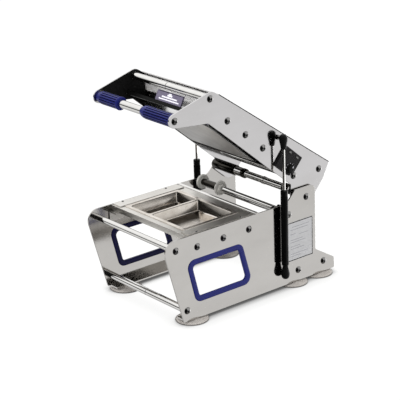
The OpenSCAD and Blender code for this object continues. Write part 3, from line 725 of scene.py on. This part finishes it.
def grip(name):
    """Ribbed handle grip: long grooves between a rounded cone and a flared lip, with the groove floors painted
    darker as painted shade.
    """
    x0, x1, y, z, lip = axis_of(name)
    radius = lip - 0.8
    ribs = 16
    per_rib = 12
    groove = 2.0
    bore = 9.05
    taper = 18.0
    profile = [(x0, bore, 0), (x0, bore + 0.5, 0)]
    for i in range(7):
        t = i / 6
        swell = sin(t * pi / 2) ** 0.9
        profile.append((x0 + 0.5 + (taper - 2.5) * t, bore + 0.9 + (radius - bore - 1.2) * swell, 0))
    profile += [(x0 + taper - 1.5, radius - 0.25, 0.0), (x0 + taper - 0.5, radius, 0.4)]
    profile += [(x0 + taper + 1.5, radius, 1.0)]
    profile += [(x1 - 6.0, radius, 1.0), (x1 - 4.6, radius, 0.4), (x1 - 4.0, radius - 0.2, 0.0)]
    profile += [(x1 - 3.2, lip - 0.1, 0), (x1 - 2.4, lip, 0), (x1 - 0.8, lip, 0)]
    profile += [(x1, lip - 0.7, 0), (x1, bore, 0)]
    rows = []
    count = ribs * per_rib
    for x, r, depth in profile:
        points = []
        for i in range(count):
            a = 2 * pi * i / count
            cut = groove * depth * max(0.0, cos(ribs * a)) ** 1.5
            points.append(row(x, y + (r - cut) * cos(a), z + (r - cut) * sin(a)))
        rows.append(points)
    shape = Shape()
    shape.grid(rows, close_rows=True)
    for k in range(len(shape.faces)):
        ribbed = profile[k // count][2] > 0.3
        # Faces in the groove floors take the darker blue: painted shade.
        if ribbed and cos(2 * pi * ribs * (k % count + 0.5) / count) > 0.25:
            shape.numbers[k] = 1
    make(name, shape, "head", [name], [BLUE, GROOVE_SHADE_BLUE], 50)


def badge():
    """Badge plate leaning back on the front bar, with plain pale bars in place of writing."""
    lean = radians(13)
    left, right, tall = -31.0, 58.0, 23.0
    bar_front, bar_top = -375, 8

    def place(depth, x, z):
        y = depth * cos(lean) - z * sin(lean) + bar_front
        return on_head(x, y, depth * sin(lean) + z * cos(lean) + bar_top)

    shape = Shape()
    outline = rounded([(left, 0), (right, 0), (right, tall), (left, tall)], 2.0, 4)
    shape.slab(outline, 0.1, 2.0, place, 0, 0.2)
    skin = (0.03, 0.1)
    # Dark strip along the top edge: a painted shadow of the front bar above it.
    shape.block((skin[0], left + 1, tall - 2.2), (skin[1], right - 1, tall - 0.8), place, 1)
    shape.block((skin[0], right - 2.2, 1), (skin[1], right - 0.8, tall - 2.2), place, 1)
    for x0, x1, z0, z1 in ((5, 21, 13.5, 17.5), (9, 17, 17.5, 20), (-12, 39, 9, 12), (-20, 47, 4, 6.6)):
        shape.block((skin[0], x0, z0), (skin[1], x1, z1), place, 2)
    make("badge_plate", shape, "head", ["badge_plate"], [BADGE, DARK_INK_AND_SHADE, PALE_INK], 30)


def knob():
    """Fluted control knob with a skirt, a domed cap and a pale pointer."""
    x = ARM_OUT + 2.2
    y, z = KNOB_PLACE
    flutes = 18
    count = flutes * 8
    profile = [(0.0, 3.0, 0), (4.1, 3.0, 0), (4.1, 10.6, 0), (4.5, 11.0, 0), (5.0, 10.8, 0), (5.3, 9.8, 0.3),
               (6.0, 9.7, 1), (8.6, 9.3, 1), (9.3, 9.0, 0.6), (10.0, 8.3, 0), (10.5, 6.5, 0), (10.7, 3.0, 0),
               (10.7, 0, 0)]
    rows = []
    for h, r, depth in profile:
        points = []
        for i in range(count):
            a = 2 * pi * i / count
            cut = 0.7 * depth * max(0.0, cos(flutes * a))
            points.append(on_head(x + h, y + (r - cut) * cos(a), z + (r - cut) * sin(a)))
        rows.append(points)
    shape = Shape()
    shape.grid(rows)
    shape.face(list(range(count)))
    shape.block((x + 10.2, y - 0.6, z + 1.5), (x + 10.68, y + 0.6, z + 7.4), on_head, 1)
    make("control_knob", shape, "knob", ["control_knob"], [BLACK_PLASTIC, PALE_INK], 35)


def dial_marks():
    """Plain scale ticks printed round the knob."""
    y, z = KNOB_PLACE
    inner, outer, half = 11.6, 13.2, 0.3
    ticks = 9
    shape = Shape()
    for i in range(ticks):
        a = radians(-45 + 270 * i / (ticks - 1))
        out = Vector((cos(a), sin(a)))
        side = Vector((-sin(a), cos(a))) * half
        corners = [out * inner - side, out * outer - side, out * outer + side, out * inner + side]
        shape.slab([(y + c.x, z + c.y) for c in corners], PANEL_FACE - 0.02, PANEL_FACE + 0.06, on_head)
    make("dial_marks", shape, "head", [], [PALE_INK], 30)


def lamps():
    """Two oblong indicator windows in thin bezels."""
    middle = 57.0
    shape = Shape()
    for y in (-108.0, -82.0):
        for half_y, half_z, radius, start, end, number, edge in (
                (5, 2.6, 1.5, -0.6, 0.7, 1, 0.3), (4, 1.6, 1.0, 0.5, 1.3, 0, 0.4)):
            outline = rounded([(y - half_y, middle - half_z), (y + half_y, middle - half_z),
                               (y + half_y, middle + half_z), (y - half_y, middle + half_z)], radius, 4)
            shape.slab(outline, PANEL_FACE + start, PANEL_FACE + end, on_head, number, edge)
    make("panel_lamps", shape, "head", ["panel_lamps"], [LENS, BLACK_PLASTIC], 30)


def sleeve_profile(x0, x1, radius, bore):
    """Closed section of a sleeve with rounded outer ends."""
    edge = 1.2
    profile = [(x0, bore), (x0, radius - edge)] + arc(x0 + edge, radius - edge, edge, 180, 90, 3)[1:]
    return profile + arc(x1 - edge, radius - edge, edge, 90, 0, 3) + [(x1, bore)]


def rod_sleeves():
    """Dark sleeves on the rod in front of the hinge."""
    y, z = -45.0, -7.0
    shape = Shape()
    for x0, x1, radius in ((-128, -52, 12), (-30, -20, 11), (108, 128, 11)):
        profile = scaled(sleeve_profile(x0, x1, radius, 8.02))
        shape.lathe(on_head(0, y, z), X_AXIS, profile, steps=48, close=True)
    make("rod_sleeve", shape, "head", ["rod_sleeve"], [DARK_CHROME], 35)


def knife_guards():
    """Small black plates on the outside of the knife's rear ends."""
    shape = Shape()
    outline = rounded([(-196, 0), (-161.5, 0), (-161.5, 14), (-196, 10)], 1.5, 4)
    for x0, x1 in ((-110.4, -108.9), (108.9, 110.4)):
        shape.slab(outline, x0, x1, on_head, 0, 0.3)
    make("knife_guards", shape, "head", [], [BLACK_PAINT], 30)


def screw_tips(node, side):
    """Middles of the screw heads' mouths on one side, found from the corners that stand out furthest."""
    points = [v.co * side for v in frame["nodes"][node].data.vertices]
    reach = max(p.x for p in points)
    found = []
    for p in points:
        if p.x > reach - 0.1 * MM:
            group = next((g for g in found if (g[0] - p).length < 8 * MM), None)
            if group:
                group.append(p)
            else:
                found.append([p])
    return [sum(g, Vector()) / len(g) * side for g in found]


def screw_socket_shade(node, body):
    """Dark discs at the floors of the hexagon sockets in the screw heads: painted shade in the recesses."""
    floor = [(-2.3, 2.8), (-0.9, 2.8), (-0.9, 0.0)]
    shape = Shape()
    for side in (-1, 1):
        for tip in screw_tips(node, side):
            shape.lathe(tip, X_AXIS * side, scaled(floor), steps=6)
    make(f"{node}_sockets", shape, body, [], [DARK_INK_AND_SHADE], 30)


# ---- Gas springs ----

def socket_profile(neck):
    """Pear-shaped ball socket from its closed end to the end of its neck."""
    back = [(-SOCKET_BACK, 0.0), (-SOCKET_BACK, 4.6), (-9.4, 5.8), (-7.6, 7.4), (-4.6, 8.8), (-1.4, 9.42)]
    front = [(2.0, 9.4), (5.0, 8.9), (9.0, 8.0), (14.0, 7.0), (neck - 3.0, 6.2), (neck - 0.8, 5.6)]
    return back + front + [(neck, 5.0), (neck, 0.0)]


def spring_parts(side):
    """Middle of the lower ball and height of the upper one, in millimetres."""
    joint = next(j for j in RECORD["behaviour"]["joints"] if j["name"] == f"{side}_spring_tilt")
    x, y, z = (value / MM for value in joint["pos_m"])
    upper = box_mm(f"{side}_spring_rod")[1].z - SOCKET_BACK
    return x, y, z, upper


def spring_tube(side):
    """Gas spring's pressure tube: gloss black, rolled at the rod end, on its ball socket."""
    x, y, z, _ = spring_parts(side)
    neck = 22.0
    base = z + neck
    top = box_mm(f"{side}_spring_tube")[1].z
    groove = TUBE_RADIUS - 0.42
    profile = [(base, 3.0), (base, 7.1), (base + 0.6, groove), (base + 1.8, TUBE_RADIUS)]
    profile += [(top - 14.0, TUBE_RADIUS), (top - 13.2, groove)]
    profile += [(top - 12.2, groove), (top - 11.4, TUBE_RADIUS)]
    profile += arc(top - 2.2, 6.0, 2.2, 90, 0, 6)
    profile += [(top, 3.6), (top - 0.8, 3.05), (base + 12.0, 3.05), (base + 12.0, 0.0)]
    shape = Shape()
    shape.lathe(row(x, y, 0), Z_AXIS, scaled(profile), 0, 40)
    shape.lathe(row(x, y, 0), Z_AXIS, scaled([(base, 3.0), (base, 0.0)]), 0, 40)
    shape.lathe(row(x, y, z), Z_AXIS, scaled(socket_profile(neck)), 1, 40)
    make(f"{side}_spring_tube", shape, f"{side}_tube", [f"{side}_spring_tube"],
         [TUBE, BLACK_PLASTIC], 40)


def spring_rod(side):
    """Gas spring's piston rod with its upper socket and the ball stud on the arm."""
    x, y, _, upper = spring_parts(side)
    hand = 1 if x > 0 else -1
    neck = 23.0
    low = box_mm(f"{side}_spring_rod")[0].z
    high = upper - neck
    profile = [(low, 0.0), (low, 2.4), (low + 0.6, 3.0)]
    profile += [(high - 1.0, 3.0), (high + 1.0, 3.0), (high + 1.0, 0.0)]
    shape = Shape()
    shape.lathe(row(x, y, 0), Z_AXIS, scaled(profile), 0, 32)
    shape.lathe(row(x, y, upper), -Z_AXIS, scaled(socket_profile(neck)), 1, 40)
    inner = ARM_OUT + 0.4
    end = abs(x) - 4.0
    thick = inner + 3.0
    stud = [(inner, 0.0), (inner, 3.0), (end, 3.0), (end, 0.0)]
    nut = [(inner, 0.0), (inner, 5.6), (inner + 0.4, 6.0), (thick - 0.4, 6.0), (thick, 5.6), (thick, 0.0)]
    start = row(0, y, upper)
    shape.lathe(start, X_AXIS * hand, scaled(stud), 2, 32)
    shape.lathe(start, X_AXIS * hand, scaled(nut), 2, 6)
    make(f"{side}_spring_rod", shape, f"{side}_rod", [f"{side}_spring_rod"],
         [BAR, BLACK_PLASTIC, SCREW], 40)


# ---- Studio ----

def make_camera():
    """Camera turned by its azimuth, elevation and roll."""
    data = bpy.data.cameras.new("camera")
    data.lens = CAMERA_LENS
    data.sensor_width = 36
    camera = bpy.data.objects.new("camera", data)
    turn = Matrix.Rotation(radians(CAMERA_AZIMUTH), 4, "Z")
    tip = Matrix.Rotation(radians(90 - CAMERA_ELEVATION), 4, "X")
    roll = Matrix.Rotation(radians(CAMERA_ROLL), 4, "Z")
    camera.matrix_world = Matrix.Translation(CAMERA_PLACE) @ turn @ tip @ roll
    bpy.context.scene.collection.objects.link(camera)
    bpy.context.scene.camera = camera


def make_floor():
    """White floor that glows evenly; its glow darkens only close to what stands on it, which is a painted
    contact shadow.
    """
    size = 30.0
    mesh = bpy.data.meshes.new("floor")
    corners = [(-size, -size, 0), (size, -size, 0), (size, size, 0), (-size, size, 0)]
    mesh.from_pydata(corners, [], [(0, 1, 2, 3)])
    f = Finish("floor_white")
    near = f.node("ShaderNodeAmbientOcclusion", Distance=0.022)
    near.samples = 16
    wide = f.node("ShaderNodeAmbientOcclusion", Distance=0.07)
    wide.samples = 16
    # Ambient occlusion dims the glow: painted contact shadow, tight and soft.
    contact_shadow = f.spread(near.outputs["AO"], 0.15, 1.0, 0.25, 0.95)
    shade = f.spread(wide.outputs["AO"], 0.62, 1.02, 0.2, 0.92)
    light = f.math("MULTIPLY", contact_shadow, shade)
    f.set(Base_Color=(0.02, 0.02, 0.02, 1), Roughness=0.9, Specular_IOR_Level=0.0,
          Emission_Color=(1, 1, 0.995, 1), Emission_Strength=light)
    f.material.cycles.emission_sampling = "NONE"
    mesh.materials.append(f.material)
    floor = bpy.data.objects.new("floor", mesh)
    floor.location.z = -0.0004
    floor.visible_glossy = False
    bpy.context.scene.collection.objects.link(floor)


def elevation_ramp(g, height, heights, levels):
    """Grey levels of the room at the given heights of a direction."""
    ramp = g.node("ShaderNodeValToRGB")
    g.put(ramp.inputs[0], height)
    elements = ramp.color_ramp.elements
    elements[0].position = 0.0
    elements[1].position = 1.0
    for place in heights[1:-1]:
        elements.new((place + 1) / 2)
    for element, level in zip(elements, levels):
        element.color = (level, level, level, 1)
    return ramp.outputs["Color"]


def direction_mask(g, way, centre, start, end, low, high):
    """Goes from low to high as a direction turns toward the centre."""
    return g.spread(g.dot(way, Vector(centre).normalized()), low, high, start, end)


def make_world():
    """Even white light. Glossy rays see a fuller room instead.

    That room has a dark horizon at the front left, a dark front and a bright patch low at the rear.
    """
    world = bpy.data.worlds.new("studio")
    bpy.context.scene.world = world
    world.use_nodes = True
    world.cycles.sampling_method = "NONE"
    g = Graph(world.node_tree)
    g.tree.nodes.clear()
    way = g.node("ShaderNodeTexCoord").outputs["Generated"]
    height = g.spread(g.node("ShaderNodeSeparateXYZ", Vector=way).outputs["Z"], 0.0, 1.0, -1.0, 1.0)
    heights = (-1.0, -0.7, -0.4, -0.2, -0.06, 0.08, 0.16, 0.3, 0.6, 1.0)
    dark_horizon = elevation_ramp(g, height, heights, (0.12, 0.5, 1.0, 0.95, 0.04, 0.03, 0.6, 1.05, 1.3, 0.9))
    pale_horizon = elevation_ramp(g, height, heights, (0.12, 0.5, 1.0, 0.8, 0.6, 0.6, 0.85, 1.05, 1.3, 0.9))
    front_left = direction_mask(g, way, (-0.75, -0.66, 0.0), 0.5, 0.75, 0.0, 1.0)
    around = g.blend(front_left, pale_horizon, dark_horizon)
    dark = direction_mask(g, way, (0.35, -0.93, 0.05), 0.34, 0.44, 1.0, 0.02)
    bright = direction_mask(g, way, (-0.2, 0.95, -0.25), 0.84, 0.92, 1.0, 5.0)
    room = g.node("ShaderNodeBackground", Color=around, Strength=g.math("MULTIPLY", dark, bright))
    plain = g.node("ShaderNodeBackground", Color=(1.0, 1.0, 1.0, 1), Strength=WORLD_LIGHT)
    seen = g.node("ShaderNodeMixShader")
    g.put(seen.inputs[0], g.node("ShaderNodeLightPath").outputs["Is Glossy Ray"])
    g.put(seen.inputs[1], plain.outputs[0])
    g.put(seen.inputs[2], room.outputs[0])
    g.node("ShaderNodeOutputWorld", Surface=seen.outputs[0])


def area_light(name, place, target, size, energy):
    """Rectangular lamp at a place, turned toward a target."""
    data = bpy.data.lights.new(name, "AREA")
    data.shape = "RECTANGLE"
    data.size, data.size_y = size
    data.energy = energy
    lamp = bpy.data.objects.new(name, data)
    lamp.location = place
    lamp.rotation_euler = (Vector(target) - Vector(place)).to_track_quat("-Z", "Y").to_euler()
    bpy.context.scene.collection.objects.link(lamp)


make_camera()
make_world()
make_floor()
area_light("top_softbox", (-0.6, -0.9, 2.2), (0, 0, 0.2), (1.6, 1.2), 8)
bpy.context.scene.view_settings.view_transform = "Standard"

paint_cad()
# The left trim gets the darker blue: painted shade on the far side.
window_trim(-1, "left_window_trim", SHADED_SIDE_BLUE)
window_trim(1, "right_window_trim", BLUE)
feet()
marked_bar("front_bottom_rod", "base", [0.0], 8.0)
marked_bar("top_bar", "head", [-8.0], 8.0)
die_insert()
core_disc("left_core_disc", "film_roller", 6.0, False)
core_disc("right_core_disc", "core_stop", 5.0, True)
data_plate()
for grip_name in ("left_grip", "right_grip"):
    grip(grip_name)
badge()
knob()
dial_marks()
lamps()
rod_sleeves()
knife_guards()
screw_socket_shade("base_screws", "base")
screw_socket_shade("arm_screws", "head")
for spring_side in ("left", "right"):
    spring_tube(spring_side)
    spring_rod(spring_side)
